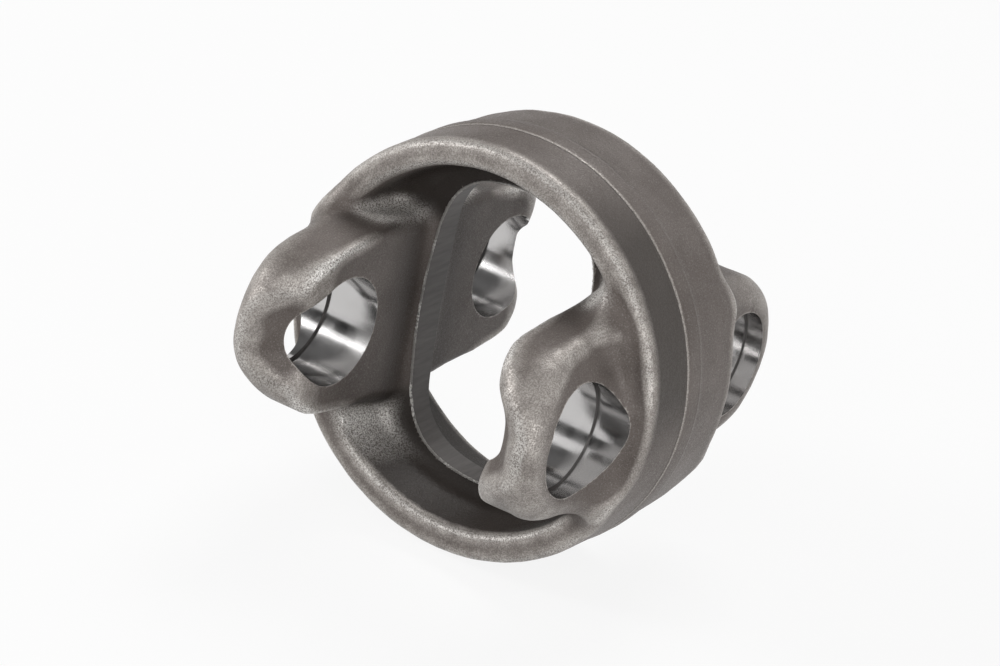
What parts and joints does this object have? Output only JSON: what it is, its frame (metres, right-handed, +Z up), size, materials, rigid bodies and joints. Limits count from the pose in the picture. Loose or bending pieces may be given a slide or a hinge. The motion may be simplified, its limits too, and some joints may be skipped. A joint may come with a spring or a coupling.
{
  "type": "double cardan joint cage",
  "caption": "Forged centre yoke of a double cardan joint: a short ring with a punched web, a fork of ears in front and behind, and cross bores with retaining ring grooves.",
  "frame": {"origin": "centre of the ring, midway between the cross bore axes", "axes": "+X along the cross bores, +Y along the ring's axis towards the rear fork, so -Y is the front, and +Z up"},
  "size_m": [0.1038, 0.109, 0.1038],
  "materials": {
    "forged_steel": "shot-blasted forging skin, dull and slightly grainy, with bright machined bores"
  },
  "bodies": {
    "root": {"cage": "forged_steel"}
  },
  "joints": []
}
